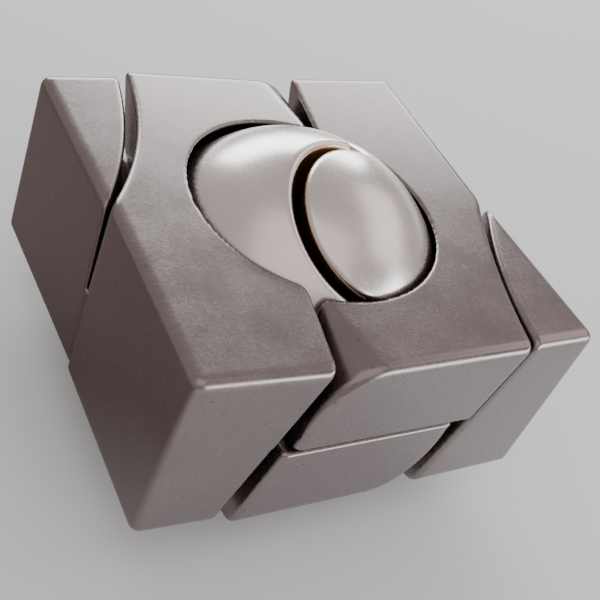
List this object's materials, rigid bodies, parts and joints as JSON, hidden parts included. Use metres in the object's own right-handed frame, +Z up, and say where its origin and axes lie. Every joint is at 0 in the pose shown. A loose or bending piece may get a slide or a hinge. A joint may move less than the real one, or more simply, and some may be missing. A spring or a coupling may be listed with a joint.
{
  "type": "metal take-apart puzzle",
  "caption": "Hand-held cast-metal take-apart puzzle: a split ball caught in a square frame of hooked castings with slanted seams.",
  "frame": {"origin": "middle of the whole puzzle's bounding box, 0.2 mm from the ball's middle", "axes": "+X along the frame's front to its right side, +Y from the front to the back, +Z up out of the face on which the ball's lobed cap shows"},
  "size_m": [0.0472, 0.0444, 0.0322],
  "materials": {
    "frame_casting": "dark pewter plating, satin",
    "ball_metal": "pale warm silver plating, semi-polished",
    "pin_steel": "plain ground steel"
  },
  "bodies": {
    "upper_right": {"upper_right_casting": "frame_casting", "front_pin": "pin_steel"},
    "lower_left": {"lower_left_casting": "frame_casting"},
    "upper_left": {"upper_left_casting": "frame_casting", "back_pin": "pin_steel"},
    "lower_right": {"lower_right_casting": "frame_casting"},
    "ball_left": {"ball_half_left": "ball_metal"},
    "ball_right": {"ball_half_right": "ball_metal"}
  },
  "joints": [
    {"name": "front_pin_swing", "type": "hinge", "parent": "upper_right", "child": "lower_left", "pos_m": [-0.00011, -0.01965, 0], "axis": [0, 0, 1], "range_deg": [0, 1.5]},
    {"name": "back_pair_twist", "type": "hinge", "parent": "upper_right", "child": "upper_left", "pos_m": [-0.00011, -0.00018, 0], "axis": [0, 1, 0], "range_deg": [-1, 2.5]},
    {"name": "back_pin_swing", "type": "hinge", "parent": "upper_left", "child": "lower_right", "pos_m": [-0.00006, 0.0192, 0], "axis": [0.034, 0.0087, 0.9994], "range_deg": [-0.4, 0.3]},
    {"name": "ball_spin", "type": "hinge", "parent": "upper_right", "child": "ball_left", "pos_m": [-0.00011, -0.00018, 0], "axis": [0, 0, 1], "continuous": true},
    {"name": "ball_half_slide", "type": "slide", "parent": "ball_left", "child": "ball_right", "axis": [-0.936, 0.1567, 0.3151], "range_m": [-0.0001, 0.0004]}
  ]
}
